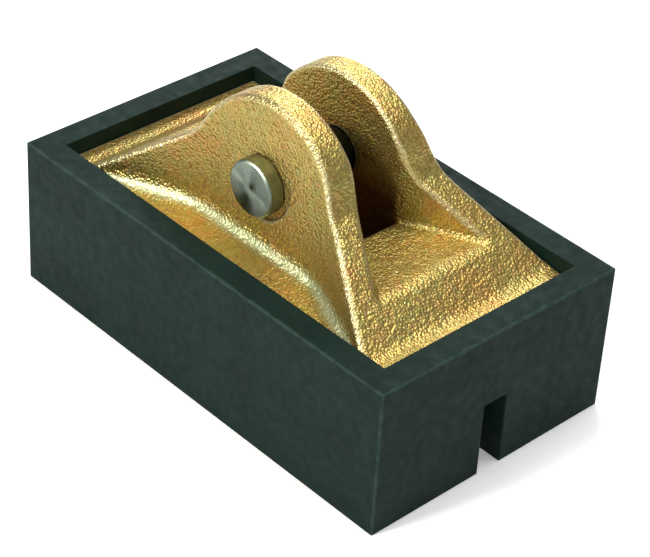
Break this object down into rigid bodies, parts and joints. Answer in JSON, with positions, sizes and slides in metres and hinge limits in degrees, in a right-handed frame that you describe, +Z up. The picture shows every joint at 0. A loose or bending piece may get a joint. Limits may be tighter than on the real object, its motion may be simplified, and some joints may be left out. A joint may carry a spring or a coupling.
{
  "type": "clevis-mounted rubber chock block",
  "caption": "Rectangular rubber chock block with a grooved sole; a cast clevis bracket let into its top holds a headed cross pin for a support arm.",
  "frame": {"origin": "centre of the block's underside", "axes": "+X along the block and its groove, +Y along the cross pin, +Z up, from the sole towards the clevis"},
  "size_m": [0.22, 0.13, 0.128],
  "materials": {
    "rubber": "matt dark green-black moulded rubber",
    "plated_casting": "sand-cast, yellow zinc plated",
    "turned_steel": "fine turned, satin",
    "spring_steel": "dark, oiled",
    "zinc_steel": "bright zinc plated"
  },
  "bodies": {
    "block": {"rubber_block": "rubber", "clevis_bracket": "plated_casting", "base_screws": "zinc_steel", "lock_washers": "zinc_steel", "load_washers": "zinc_steel"},
    "pin": {"clevis_pin": "turned_steel", "thrust_washer": "zinc_steel", "snap_ring": "spring_steel"}
  },
  "joints": [
    {"name": "pin_turn", "type": "hinge", "parent": "block", "child": "pin", "pos_m": [0, 0, 0.092], "axis": [0, 1, 0], "continuous": true}
  ]
}
